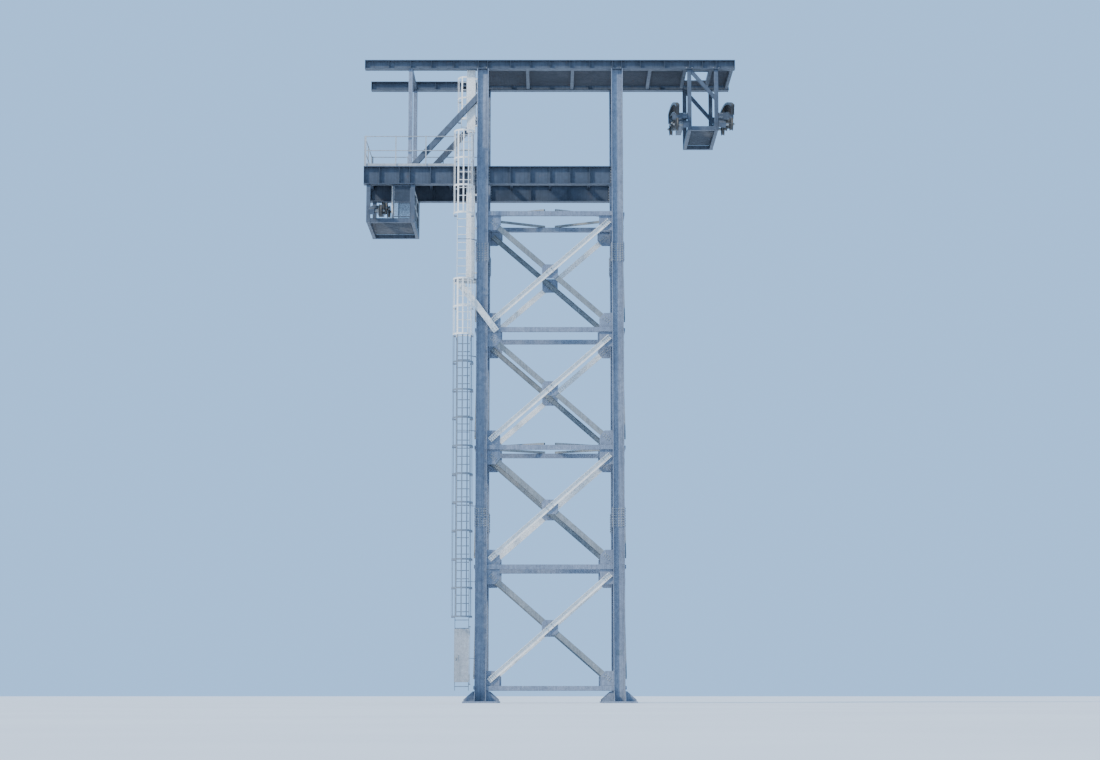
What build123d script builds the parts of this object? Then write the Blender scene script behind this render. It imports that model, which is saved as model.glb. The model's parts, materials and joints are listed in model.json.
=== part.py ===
from build123d import *
import os
from math import sin, cos, tan, asin, atan2, radians, degrees, hypot

# Aerial ropeway support tower: a free-standing steel lattice tower.
# Four H-section legs, four cross-braced bays, a twin-beam gantry on top, a twin-beam crossarm
# one bay lower on the left only, a roller frame hanging under the left arm and a saddle frame hanging under
# the right end of the gantry.
# Frame: +Z up, +X to the right arm, +Y uphill along the line.
# Origin: centre of the footprint at ground level, under the four foot plates. Units: millimetres.

os.makedirs("parts", exist_ok=True)

# ---- driving dimensions -------------------------------------------------------------------------------
LEG_X = 2370.0            # leg axis from the centre line, across the line
LEG_Y = 1385.0            # leg axis from the centre line, along the line
LEG_H, LEG_B, LEG_TF, LEG_TW = 400.0, 300.0, 24.0, 14.0      # H section: depth along X, flange width along Y
FOOT_T = 60.0             # base plate thickness
FOOT_X, FOOT_Y, RIB_H = 1200.0, 1400.0, 340.0
ANCHOR_X, ANCHOR_Y, ANCHOR_R = 480.0, 580.0, 29.0            # anchor hole offsets and radius
BAY_Z0, BAY_H, BAYS = 500.0, 4125.0, 4                       # lowest node, bay height, number of bays
GANTRY_TOP, GANTRY_H = 22530.0, 320.0
ARM_TOP, ARM_H = 18680.0, 640.0                              # crossarm top and depth
HALF_SPAN = 6550.0        # half length of gantry, and left reach of the crossarm
POST_IN, POST_OUT, POST_W = 4930.0, 5880.0, 140.0            # right hanging frame posts
LEFT_IN, LEFT_OUT = 4820.0, 6380.0                           # left hanging frame posts
R_FRAME_BOT, L_FRAME_BOT = 20000.0, 16680.0                  # underside of right and left hanging frames
SADDLE_R = 16000.0        # bend radius of the saddle seat
SADDLE_MID_PHI, SADDLE_MID_Z = -11.25, 21350.0               # seat slope at mid length (degrees), seat height there
SADDLE_PHI0 = -21.0                                          # slope at the lower end of the seat
SADDLE_X = (4450.0, 6360.0)                                  # inner and outer saddle
ROPE_R = 27.0             # radius of the saddle groove
ROLLER_DROP = 720.0       # roller axles below the saddle seat, measured along the radius
ROLLER_R, ROLLER_GROOVE_R, ROLLER_W, AXLE_R, RUN_GAP = 230.0, 200.0, 110.0, 30.0, 0.05
ROLLER_PHI = (-18.985, -14.172, -9.420, -4.771)                 # roller positions along the line
LEFT_DROP, LEFT_LINE_X = 3100.0, -5900.0                     # how much lower the left roller line sits, and where
LADDER_X, LADDER_Y, LADDER_Y2 = -3000.0, -1748.0, 1120.0     # ladder centre, rung plane of the lower flights, of the upper flight
LADDER_HALF, RUNG_STEP = 225.0, 280.0
GRATE_T = 40.0
LANDING_Z = 14630.0       # top of the rest landing on the long ladder
ARM_BRACE_Z = 21200.0     # where the left arm's knee braces meet the legs
GROUND = 0.0

GANTRY_BOT = GANTRY_TOP - GANTRY_H
ARM_BOT = ARM_TOP - ARM_H
LEG_OUT = LEG_X + LEG_H / 2          # 2570, outer flange face
LEG_IN = LEG_X - LEG_H / 2           # 2170, inner flange face
TIP_IN = LEG_Y - LEG_B / 2           # 1235, flange tips facing inwards
TIP_OUT = LEG_Y + LEG_B / 2          # 1535
NODES = [BAY_Z0 + BAY_H * i for i in range(BAYS + 1)]
YC = -SADDLE_R * sin(radians(SADDLE_MID_PHI))                # centre of the saddle arc
ZC = SADDLE_MID_Z - SADDLE_R * cos(radians(SADDLE_MID_PHI))
SADDLE_END_Y = -(YC + (SADDLE_R + 12) * sin(radians(SADDLE_PHI0)))   # both seat ends reach as far from the centre
SADDLE_PHI = (SADDLE_PHI0, degrees(asin((SADDLE_END_Y - YC) / (SADDLE_R - 350))))

X, Y, Z = Vector(1, 0, 0), Vector(0, 1, 0), Vector(0, 0, 1)


# ---- helpers ------------------------------------------------------------------------------------------
def blk(x0, x1, y0, y1, z0, z1):
    """A box by its faces."""
    return Pos((x0 + x1) / 2, (y0 + y1) / 2, (z0 + z1) / 2) * Box(abs(x1 - x0), abs(y1 - y0), abs(z1 - z0))


def prism(pts, origin, x_dir, z_dir, length):
    """A straight bar: a closed outline in the plane at origin, extruded along z_dir."""
    plane = Plane(origin=origin, x_dir=x_dir, z_dir=z_dir)
    return extrude(plane * make_face(Polyline(*pts, close=True)), amount=length, dir=z_dir)


def i_pts(h, b, tf, tw, h_along_x=False):
    """Outline of an H or I section, depth h and flange width b."""
    q = [(-b / 2, -h / 2), (b / 2, -h / 2), (b / 2, -h / 2 + tf), (tw / 2, -h / 2 + tf), (tw / 2, h / 2 - tf), (b / 2, h / 2 - tf),
         (b / 2, h / 2), (-b / 2, h / 2), (-b / 2, h / 2 - tf), (-tw / 2, h / 2 - tf), (-tw / 2, -h / 2 + tf), (-b / 2, -h / 2 + tf)]
    return [(p[1], p[0]) for p in q] if h_along_x else q


def beam_x(x0, x1, y, zc, h, b, tf, tw):
    """An I beam along X."""
    return prism(i_pts(h, b, tf, tw), (x0, y, zc), (0, 1, 0), (1, 0, 0), x1 - x0)


def box_section(x0, x1, y0, y1, z0, z1, along, t, cap=0.0):
    """A rectangular hollow section along one axis, open at both ends, or closed by a plate at its lower end."""
    cut = {"X": (x0 - 1, x1 + 1, y0 + t, y1 - t, z0 + t, z1 - t), "Y": (x0 + t, x1 - t, y0 - 1, y1 + 1, z0 + t, z1 - t),
           "Z": (x0 + t, x1 - t, y0 + t, y1 - t, z0 + cap if cap else z0 - 1, z1 + 1)}[along]
    return blk(x0, x1, y0, y1, z0, z1) - blk(*cut)


def panel(x0, x1, y0, y1, z0, z1, t=5.0):
    """A deck panel: a plate with its four edges turned down."""
    return blk(x0, x1, y0, y1, z0, z1) - blk(x0 + t, x1 - t, y0 + t, y1 - t, z0 - 1, z1 - t)


def solids_of(items):
    out = []
    for s in items:
        out += list(s.solids())
    return out


def save(name, items):
    """Writes one node: one solid, or several that don't touch."""
    export_step(Compound(label=name, children=solids_of(items)), f"parts/{name}.step")


def fused(items):
    a = items[0]
    return a.fuse(*items[1:]) if len(items) > 1 else a


# ---- legs and feet ------------------------------------------------------------------------------------
# columns: name, side in X, side in Y
LEGS = [("leg_front_left", -1, -1), ("leg_front_right", 1, -1), ("leg_rear_left", -1, 1), ("leg_rear_right", 1, 1)]
feet = []
for name, sx, sy in LEGS:
    cx, cy = sx * LEG_X, sy * LEG_Y
    save(name, [prism(i_pts(LEG_H, LEG_B, LEG_TF, LEG_TW, True), (cx, cy, FOOT_T), (1, 0, 0), (0, 0, 1), GANTRY_BOT - FOOT_T)])
    plate = blk(cx - FOOT_X / 2, cx + FOOT_X / 2, cy - FOOT_Y / 2, cy + FOOT_Y / 2, 0, FOOT_T)
    for hx in (-1, 1):
        for hy in (-1, 1):
            plate -= Pos(cx + hx * ANCHOR_X, cy + hy * ANCHOR_Y, FOOT_T / 2) * Cylinder(ANCHOR_R, FOOT_T * 2)
    ribs = []
    for s in (-1, 1):
        # rib on the web line, standing out along X
        ribs.append(prism([(0, 0), (380, 0), (380, 60), (60, RIB_H), (0, RIB_H)], (cx + s * LEG_H / 2, cy + (10 if s > 0 else -10), FOOT_T),
                          (s, 0, 0), (0, -s, 0), 20))
        # ribs in line with both flanges, standing out along Y
        for f in (-1, 1):
            x0 = cx + f * (LEG_H / 2 - LEG_TF / 2)
            ribs.append(prism([(0, 0), (530, 0), (530, 60), (60, RIB_H), (0, RIB_H)], (x0 - s * 10, cy + s * LEG_B / 2, FOOT_T),
                              (0, s, 0), (s, 0, 0), 20))
    feet.append(fused([plate] + ribs))
save("foot_plates", feet)

# ---- lattice faces ------------------------------------------------------------------------------------
# columns: name, point on the face plane, direction across, outward normal, inner edge, leg axis, strut half width,
#          strut below node, strut above node, gusset thickness, channel height, channel depth, web, flange, plate end
FACES = [
    ("front", Vector(0, -LEG_Y, 0), X, -Y, LEG_IN, LEG_X, 80, 80, 80, 20, 180, 70, 9, 11, 750, (560, 500)),
    ("rear", Vector(0, LEG_Y, 0), X, Y, LEG_IN, LEG_X, 80, 80, 80, 20, 180, 70, 9, 11, 750, (560, 500)),
    ("left", Vector(-LEG_OUT + LEG_TF / 2, 0, 0), Y, -X, TIP_IN, LEG_Y, 60, 40, 80, 16, 140, 60, 8, 10, 750, (380, 460)),
    ("right", Vector(LEG_OUT - LEG_TF / 2, 0, 0), Y, X, TIP_IN, LEG_Y, 60, 40, 80, 16, 140, 60, 8, 10, 750, (380, 460)),
]
diagonals, struts, gussets = {}, {}, []
for name, base, U, N, u_in, u_ax, hw, below, above, gt, ch, cd, cw, cf, t1, centre in FACES:
    a = atan2(BAY_H, 2 * u_ax)
    c, s = cos(a), sin(a)
    length = hypot(BAY_H, 2 * u_ax)
    t0 = max((u_ax - u_in + 28 + ch / 2 * s) / c, (above + 28 + ch / 2 * c) / s)
    sn = 1 if U.cross(Z).dot(N) > 0 else -1
    chan = [(-ch / 2, 0), (ch / 2, 0), (ch / 2, cd), (ch / 2 - cf, cd), (ch / 2 - cf, cw), (-ch / 2 + cf, cw), (-ch / 2 + cf, cd), (-ch / 2, cd)]
    bars = []
    for k in range(BAYS):
        for rise in (1, -1):  # rising channel outside the plates, falling channel inside them
            d = U * (rise * c) + Z * s
            n = U * (-rise * s) + Z * c
            start = base + U * (-rise * u_ax) + Z * NODES[k] + d * t0 + N * (rise * gt / 2)
            flip = 1 if d.cross(n).dot(N * rise) > 0 else -1
            bars.append(prism([(p[0], flip * p[1]) for p in chan], tuple(start), tuple(n), tuple(d), length - 2 * t0))
        mid = base + Z * (NODES[k] + BAY_H / 2) - N * (gt / 2)
        w, h = centre
        gussets.append(prism([(-w / 2 + 90, -h / 2), (w / 2 - 90, -h / 2), (w / 2, -h / 2 + 90), (w / 2, h / 2 - 90), (w / 2 - 90, h / 2), (-w / 2 + 90, h / 2),
                              (-w / 2, h / 2 - 90), (-w / 2, -h / 2 + 90)], tuple(mid), tuple(U * (1 if U.cross(Z).dot(N) > 0 else -1)), tuple(N), gt))
    diagonals[name] = bars
    rows = []
    for k, z in enumerate(NODES):
        p0, p1 = base + U * -u_in - N * hw + Z * (z - below), base + U * u_in + N * hw + Z * (z + above)
        rows.append(box_section(min(p0.X, p1.X), max(p0.X, p1.X), min(p0.Y, p1.Y), max(p0.Y, p1.Y), p0.Z, p1.Z, "X" if U.X else "Y", 8))
        for side in (-1, 1):
            for up in (-1, 1):
                if (k == 0 and up < 0) or (k == BAYS and up > 0):
                    continue
                az = above if up > 0 else below
                pu, pz, m = -(u_ax - u_in) + t1 * c, -az + t1 * s, ch / 2 + 38
                A, B = (pu + m * s, pz - m * c), (pu - m * s, pz + m * c)
                poly = [(0, 0), (A[0], 0), A, B, (0, B[1])]
                o = base + U * (side * u_in) + Z * (z + up * az) - N * (gt / 2)
                xd = U * -side
                yd = N.cross(xd)          # local y of the plane with normal N
                flip = 1 if yd.dot(Z * up) > 0 else -1
                gussets.append(prism([(p[0], flip * p[1]) for p in poly], tuple(o), tuple(xd), tuple(N), gt))
    struts[name] = rows
save("rising_braces", diagonals["front"][0::2] + diagonals["rear"][0::2])
save("falling_braces", diagonals["front"][1::2] + diagonals["rear"][1::2])
save("side_braces", diagonals["left"] + diagonals["right"])
save("face_struts", struts["front"] + struts["rear"])
save("side_struts", struts["left"] + struts["right"])
save("gusset_plates", gussets)

# horizontal diamond bracing that keeps the shaft square, lying on the struts
plan = []
for k in (2, 4):
    z0 = NODES[k] + 80
    for sx in (-1, 1):
        for sy in (-1, 1):
            p, q = Vector(sx * 190, sy * LEG_Y, z0), Vector(sx * (LEG_OUT - 12), sy * 120, z0)
            d = (q - p).normalized()
            plan.append(prism([(0, -40), (80, -40), (80, 40), (0, 40)], tuple(p), (0, 0, 1), tuple(d), (q - p).length)
                        - prism([(6, -34), (74, -34), (74, 34), (6, 34)], tuple(p - d), (0, 0, 1), tuple(d), (q - p).length + 2))
save("plan_braces", plan)

# bolted splices half way up the legs: flange plates outside, web plates between the flanges
SPLICE_Z, SPLICE_L, SPLICE_T = (6330.0, 15630.0), 700.0, 16.0
splices = []
for name, sx, sy in LEGS:
    cx, cy = sx * LEG_X, sy * LEG_Y
    for z in SPLICE_Z:
        for s in (-1, 1):
            x0 = cx + s * LEG_H / 2
            splices.append(blk(x0, x0 + s * SPLICE_T, cy - 140, cy + 140, z - SPLICE_L / 2, z + SPLICE_L / 2))
            y0 = cy + s * LEG_TW / 2
            splices.append(blk(cx - 150, cx + 150, y0, y0 + s * 12, z - SPLICE_L / 2, z + SPLICE_L / 2))
save("leg_splices", splices)

# ---- crossarm -----------------------------------------------------------------------------------------
zc = (ARM_TOP + ARM_BOT) / 2
save("crossarm_beams", [beam_x(x0, x1, s * LEG_Y, zc, ARM_H, LEG_B, 30, 16)
                        for s in (-1, 1) for x0, x1 in ((-HALF_SPAN, -LEG_OUT), (-LEG_IN, LEG_IN))])
JOIST_X = (-6450, -5700, -4930, -4300, -3600, -2690, -1400, 0, 1400)
WEB_IN = LEG_Y - 8                   # inner face of the crossarm webs
save("crossarm_joists", [box_section(x - 50, x + 50, -WEB_IN, WEB_IN, ARM_TOP - GRATE_T - 160, ARM_TOP - GRATE_T, "Y", 6) for x in JOIST_X])
DECK_Y = TIP_IN - 6
# deck panels: from x, to x, from y, to y
PANELS = [(-6550, -5703, -DECK_Y, DECK_Y), (-5700, -4930, -DECK_Y, -402), (-5700, -4930, 402, DECK_Y),
          (-4927, -3603, -DECK_Y, DECK_Y), (-3600, -2600, -DECK_Y, DECK_Y)]
save("crossarm_deck", [panel(x0, x1, y0, y1, ARM_TOP - GRATE_T, ARM_TOP) for x0, x1, y0, y1 in PANELS])
# upright and knee brace that tie the left arm to the gantry
save("arm_posts", [box_section(-POST_IN - POST_W / 2, -POST_IN + POST_W / 2, s * LEG_Y - 70, s * LEG_Y + 70, ARM_TOP, GANTRY_BOT, "Z", 8) for s in (-1, 1)])
knees = []
for s in (-1, 1):
    p, q = Vector(-POST_IN + 70, s * LEG_Y - 70, ARM_TOP), Vector(-LEG_OUT, s * LEG_Y - 70, ARM_BRACE_Z)
    d = (q - p).normalized()
    bar = prism([(-100, 0), (100, 0), (100, 140), (-100, 140)], tuple(p - d * 200), tuple(Y.cross(d)), tuple(d), (q - p).length + 400)
    if bar.bounding_box().center().Y < (s * LEG_Y - 75) or bar.bounding_box().center().Y > (s * LEG_Y + 75):
        bar = prism([(-100, 0), (100, 0), (100, -140), (-100, -140)], tuple(p - d * 200), tuple(Y.cross(d)), tuple(d), (q - p).length + 400)
    ys = bar.bounding_box()
    y_mid = (ys.min.Y + ys.max.Y) / 2
    core = prism([(-92, -62), (92, -62), (92, 62), (-92, 62)], (p.X - d.X * 300, y_mid, p.Z - d.Z * 300), tuple(Y.cross(d)), tuple(d), (q - p).length + 600)
    knees.append((bar - core) & blk(-POST_IN + 70, -LEG_OUT, s * LEG_Y - 100, s * LEG_Y + 100, ARM_TOP, GANTRY_BOT))
save("arm_braces", knees)

# ---- gantry -------------------------------------------------------------------------------------------
save("gantry_beams", [beam_x(-HALF_SPAN, HALF_SPAN, s * LEG_Y, (GANTRY_TOP + GANTRY_BOT) / 2, GANTRY_H, LEG_B, 24, 14) for s in (-1, 1)])
GX = (-POST_IN, -2450, -800, 800, LEG_X, 3550, 4800, 5710, 6450)
DECK_Z = GANTRY_BOT + 144                # underside of the gantry deck, on top of the cross members
save("gantry_cross_members", [box_section(x - 60, x + 60, -LEG_Y + 7, LEG_Y - 7, DECK_Z - 120, DECK_Z, "Y", 6) for x in GX])
# deck panels between the gantry beams: from x, to x, from y, to y; a way is left round the ladder to the saddle platform
GANTRY_PANELS = [(-2600, -802, -DECK_Y, DECK_Y), (-798, 798, -DECK_Y, DECK_Y), (802, LEG_X - 2, -DECK_Y, DECK_Y), (LEG_X + 2, 3548, -DECK_Y, DECK_Y),
                 (3552, 4860, -DECK_Y, DECK_Y), (4864, 5650, -DECK_Y, -600), (4864, 5650, 600, DECK_Y), (5654, 6510, -DECK_Y, DECK_Y)]
save("gantry_walkway", [panel(x0, x1, y0, y1, DECK_Z, DECK_Z + GRATE_T) for x0, x1, y0, y1 in GANTRY_PANELS])

# ---- hanging frames -----------------------------------------------------------------------------------
posts, ring, decks = [], [], []
# columns: side, inner post, outer post, underside, top, deck from, deck to
FRAMES = [(1, POST_IN, POST_OUT, R_FRAME_BOT, GANTRY_BOT, POST_IN - 54, POST_OUT + 54),
          (-1, LEFT_IN, LEFT_OUT, L_FRAME_BOT, ARM_BOT, LEFT_IN - 54, LEFT_OUT + 54)]
for sx, p_in, p_out, z0, z1, d0, d1 in FRAMES:
    for px in (p_in, p_out):
        for sy in (-1, 1):
            posts.append(box_section(sx * px - 70, sx * px + 70, sy * LEG_Y - 70, sy * LEG_Y + 70, z0, z1, "Z", 8, 10))
        ring.append(box_section(sx * px - 60, sx * px + 60, -LEG_Y + 70, LEG_Y - 70, z0, z0 + 140, "Y", 6))
    x0, x1 = sorted((sx * (p_in + 70), sx * (p_out - 70)))
    for sy in (-1, 1):
        ring.append(box_section(x0, x1, sy * LEG_Y - 60, sy * LEG_Y + 60, z0, z0 + 140, "X", 6))
    decks.append(panel(*sorted((sx * d0, sx * d1)), -LEG_Y + 76, LEG_Y - 76, z0 + 140, z0 + 140 + GRATE_T))
# short braces at the head of the right frame, from the inner post's head down to the outer post
braces = []
for sy in (-1, 1):
    p, q = Vector(POST_IN + 70, sy * LEG_Y - 50, GANTRY_BOT - 60), Vector(POST_OUT - 70, sy * LEG_Y - 50, GANTRY_BOT - 1000)
    d = (q - p).normalized()
    for sg in (1, -1):
        bar = prism([(-60, 0), (60, 0), (60, sg * 100), (-60, sg * 100)], tuple(p - d * 200), tuple(Y.cross(d)), tuple(d), (q - p).length + 400)
        if abs(bar.bounding_box().center().Y - sy * LEG_Y) < 10:
            break
    braces.append(bar & blk(POST_IN + 70, POST_OUT - 70, sy * LEG_Y - 100, sy * LEG_Y + 100, GANTRY_BOT - 1300, GANTRY_BOT))
save("hanger_posts", posts)
save("hanger_beams", ring)
save("hanger_braces", braces)
save("hanger_decks", decks)


# ---- saddles ------------------------------------------------------------------------------------------
def arc_bar(pts, phi0, phi1, dz=0.0):
    """A section drawn as (x, radius) swept along the saddle arc, between two slopes in degrees."""
    plane = Plane(origin=(0, YC, ZC + dz), x_dir=(1, 0, 0), z_dir=(0, -1, 0))       # local y is +Z
    face = plane * make_face(Polyline(*pts, close=True))
    face = Rot(0, 0, 0) * face
    turned = face.rotate(Axis((0, YC, ZC + dz), (1, 0, 0)), -phi0)
    return revolve(turned, axis=Axis((0, YC, ZC + dz), (1, 0, 0)), revolution_arc=-(phi1 - phi0))


def at_phi(phi, r, dz=0.0):
    return YC + r * sin(radians(phi)), ZC + dz + r * cos(radians(phi))


saddles = []
for x in SADDLE_X:
    w = [(x - 60, SADDLE_R - 350), (x + 60, SADDLE_R - 350), (x + 60, SADDLE_R - 330), (x + 9, SADDLE_R - 330), (x + 9, SADDLE_R - 70),
         (x + 60, SADDLE_R - 70), (x + 60, SADDLE_R + 12), (x - 60, SADDLE_R + 12), (x - 60, SADDLE_R - 70), (x - 9, SADDLE_R - 70),
         (x - 9, SADDLE_R - 330), (x - 60, SADDLE_R - 330)]
    body = arc_bar(w, *SADDLE_PHI)
    plane = Plane(origin=(0, YC, ZC), x_dir=(1, 0, 0), z_dir=(0, -1, 0))
    groove = (plane * (Pos(x, SADDLE_R + 27 - 15) * Circle(ROPE_R))).rotate(Axis((0, YC, ZC), (1, 0, 0)), -SADDLE_PHI[0] + 1)
    cut = revolve(groove, axis=Axis((0, YC, ZC), (1, 0, 0)), revolution_arc=-(SADDLE_PHI[1] - SADDLE_PHI[0] + 2))
    saddles.append(body - cut)
save("saddle_inner", [saddles[0]])
save("saddle_outer", [saddles[1]])

brackets = []
for sx0, sx1 in ((POST_IN - 600, POST_IN - 70), (POST_OUT + 70, POST_OUT + 600)):
    for sy in (-1, 1):
        zt = ZC + (SADDLE_R - 350) * cos(asin((sy * LEG_Y - YC) / (SADDLE_R - 350)))
        slab = blk(sx0, sx1, sy * LEG_Y - 60, sy * LEG_Y + 60, zt - 230, zt + 60)
        big = Pos(5400, YC, ZC) * Rot(0, 90, 0) * Cylinder(SADDLE_R - 350, 3000)
        brackets.append(slab & big)
save("saddle_brackets", brackets)

# ---- rollers ------------------------------------------------------------------------------------------
# columns: line name, roller centre x, side the beam is on (+1: beam at greater x), drop
LINES = [("right_inner", SADDLE_X[0], 1, 0.0), ("right_outer", SADDLE_X[1], -1, 0.0), ("left", LEFT_LINE_X, -1, -LEFT_DROP)]
RR = SADDLE_R - ROLLER_DROP
beams, axles = [], []
for line, x, sb, dz in LINES:
    xa, xb = sorted((x + sb * 210, x + sb * 410))
    beams.append(arc_bar([(xa, RR - 90), (xb, RR - 90), (xb, RR + 90), (xa, RR + 90)], -20.3, -2.2, dz)
                 - arc_bar([(xa + 8, RR - 82), (xb - 8, RR - 82), (xb - 8, RR + 82), (xa + 8, RR + 82)], -20.5, -2.0, dz))
    for i, phi in enumerate(ROLLER_PHI):
        y, z = at_phi(phi, RR, dz)
        # rim with a groove, thin web, long hub: half section as (radius, offset along X)
        hw = ROLLER_W / 2
        half = [(AXLE_R + RUN_GAP, -70), (55, -70), (55, -12), (ROLLER_GROOVE_R - 32, -12), (ROLLER_GROOVE_R - 32, -hw), (ROLLER_R, -hw), (ROLLER_R, -hw + 14),
                (ROLLER_GROOVE_R + 6, -16), (ROLLER_GROOVE_R, -8), (ROLLER_GROOVE_R, 8), (ROLLER_GROOVE_R + 6, 16), (ROLLER_R, hw - 14), (ROLLER_R, hw),
                (ROLLER_GROOVE_R - 32, hw), (ROLLER_GROOVE_R - 32, 12), (55, 12), (55, 70), (AXLE_R + RUN_GAP, 70)]
        plane = Plane(origin=(x, y, z), x_dir=(0, 1, 0), z_dir=(0, 0, -1))           # local x is +Y, local y is -X
        wheel = revolve(plane * make_face(Polyline(*half, close=True)), axis=Axis((x, y, z), (1, 0, 0)), revolution_arc=360)
        save(f"roller_{line}_{i + 1}", [wheel])
        x_far = x - sb * 96
        lo, hi = sorted((x_far, x + sb * 210))
        pin = Pos((lo + hi) / 2, y, z) * Rot(0, 90, 0) * Cylinder(AXLE_R, hi - lo)
        cap = Pos(x - sb * 86, y, z) * Rot(0, 90, 0) * Cylinder(48, 20)
        collar = Pos(x + sb * 144, y, z) * Rot(0, 90, 0) * Cylinder(50, 132)
        axles.append(fused([pin, cap, collar]))
save("roller_beams", beams)
save("roller_axles", axles)

# ---- ladder, cage, landing ----------------------------------------------------------------------------
SX = LADDER_HALF + 10                  # stringer centre from the ladder centre
# columns: centre x, centre y, direction the rungs run, foot, head, highest rung
FLIGHTS = [(LADDER_X, LADDER_Y, "X", 420.0, LANDING_Z - 50, LANDING_Z - 50), (LADDER_X, LADDER_Y, "X", LANDING_Z + 6, ARM_TOP + 1100, ARM_TOP),
           (LADDER_X, LADDER_Y2, "X", ARM_TOP, GANTRY_TOP - 10, GANTRY_TOP - 10),
           (-5617.0, 0.0, "Y", L_FRAME_BOT + 180, ARM_TOP - 60, ARM_TOP - 60),
           (5023.0, -115.0, "Y", R_FRAME_BOT + 180, GANTRY_TOP - 10, GANTRY_TOP - 10)]
stringers, rungs = [], []
for lx, ly, along, z0, z1, zr in FLIGHTS:
    spin = 0 if along == "X" else 90
    for s in (-1, 1):
        stringers.append(Pos(lx, ly, (z0 + z1) / 2) * Rot(0, 0, spin) * Pos(s * SX, 0.5, 0) * Box(20, 65, z1 - z0))
    for i in range(int((zr - z0 - 150) // RUNG_STEP) + 1):
        rungs.append(Pos(lx, ly, z0 + 140 + i * RUNG_STEP) * Rot(0, 0, spin) * Rot(0, 90, 0) * Cylinder(14, 2 * LADDER_HALF))
save("ladder_stringers", stringers)
save("ladder_rungs", rungs)
CAGE_R, CAGE_D, CAGE_T, STRAP_W, HOOP_W = 350.0, 380.0, 8.0, 45.0, 60.0
STRAP_ANG = (-180, -150, -120, -90, -60, -30, 0)
hoops, straps, LB = [], [], []
# columns: rung plane, lowest hoop, highest hoop, hoops
CAGES = [(LADDER_Y, 2900.0, LANDING_Z - 120, 13), (LADDER_Y, LANDING_Z + 2200, ARM_TOP + 1070, 4), (LADDER_Y2, ARM_TOP + 2250, GANTRY_TOP - 70, 3)]
for ry, z0, z1, n in CAGES:
    cy = ry - CAGE_D
    for ang in STRAP_ANG:
        straps.append(Pos(LADDER_X, cy, (z0 + z1) / 2) * Rot(0, 0, ang) * Pos(CAGE_R, 0, 0) * Box(CAGE_T, STRAP_W, z1 - z0 + HOOP_W))
    for i in range(n):
        z = z0 + (z1 - z0) * i / (n - 1)
        # flat bars of the hoop, each from the edge of one strap to the edge of the next
        for a0, a1 in zip(STRAP_ANG, STRAP_ANG[1:]):
            m, half = (a0 + a1) / 2, radians((a1 - a0) / 2)
            reach = CAGE_R * sin(half) - STRAP_W / 2 * cos(half)
            out = CAGE_R * cos(half) + STRAP_W / 2 * sin(half)
            hoops.append(Pos(LADDER_X, cy, z) * Rot(0, 0, m) * Pos(out, 0, 0) * Box(CAGE_T, 2 * reach - 2.2, HOOP_W))
        for s in (-1, 1):   # straight sides with a bent foot on the stringer
            side = blk(LADDER_X + s * (CAGE_R - CAGE_T / 2), LADDER_X + s * (CAGE_R + CAGE_T / 2), cy + STRAP_W / 2, ry - 2, z - HOOP_W / 2, z + HOOP_W / 2)
            foot = blk(LADDER_X + s * (LADDER_HALF + 20), LADDER_X + s * (CAGE_R - CAGE_T / 2), ry - 10, ry - 2, z - HOOP_W / 2, z + HOOP_W / 2)
            hoops.append(side)
            LB.append(foot)
save("cage_hoops", hoops)
save("cage_straps", straps)
for z in [1500 + 2600 * i for i in range(5)] + [LANDING_Z + 1400]:
    pts = [(-LEG_OUT, -1340), (-LEG_OUT, -1520), (-2765, LADDER_Y + 33), (-3235, LADDER_Y + 33), (-3235, LADDER_Y + 95), (-2800, LADDER_Y + 95)]
    LB.append(extrude(Pos(0, 0, z) * make_face(Polyline(*pts, close=True)), amount=16, dir=(0, 0, 1)))
LB.append(blk(-3245, -2755, LADDER_Y + 33, -LEG_Y - 8, ARM_TOP - 200, ARM_TOP - 184))
LB.append(blk(-3245, -2755, LADDER_Y2 + 33, LEG_Y - 7, GANTRY_TOP - 200, GANTRY_TOP - 184))
save("ladder_brackets", LB)
save("rest_landing", [panel(-3340, -LEG_OUT, -1690, -1000, LANDING_Z - 40, LANDING_Z)])
landing = []
for y in (-1505.0, -1270.0):
    arm = blk(-3320, -LEG_OUT, y - 30, y + 30, LANDING_Z - 100, LANDING_Z - 40)
    p, q = Vector(-3290, y, LANDING_Z - 100), Vector(-LEG_OUT, y, LANDING_Z - 950)
    d = (q - p).normalized()
    knee = prism([(-30, -30), (30, -30), (30, 30), (-30, 30)], tuple(p - d * 40), (0, 1, 0), tuple(d), (q - p).length + 200)
    landing.append(arm.fuse(knee & blk(-3400, -LEG_OUT, y - 100, y + 100, LANDING_Z - 1400, LANDING_Z - 70)))
# long knee in front of the leg, from under the landing's outer edge down to the node of the lattice, joined to the outer bracket
p, q = Vector(-3340, -1565, LANDING_Z - 40), Vector(-1960, -1565, LANDING_Z - 1890)
d = (q - p).normalized()
across = Vector(-d.Z, 0, d.X)            # square to the knee, towards the leg
p0 = p + across * 110 - d * 200
long_knee = prism([(-30, -110), (30, -110), (30, 110), (-30, 110)], tuple(p0), (0, 1, 0), tuple(d), (q - p).length + 200)
long_knee -= prism([(-24, -104), (24, -104), (24, 104), (-24, 104)], tuple(p0 - d), (0, 1, 0), tuple(d), (q - p).length + 202)
landing[0] = landing[0].fuse(long_knee & blk(-3500, -1500, -1700, -1500, LANDING_Z - 2600, LANDING_Z - 40))
save("landing_brackets", landing)

# ---- cable duct ---------------------------------------------------------------------------------------
# bright riser duct behind the upper ladder: one run from the landing to the crossarm, one from above the deck gate to the gantry
DUCT_X, DUCT_Y, DUCT_T = (-2940.0, -2640.0), (-1305.0, -1175.0), 4.0
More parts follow.
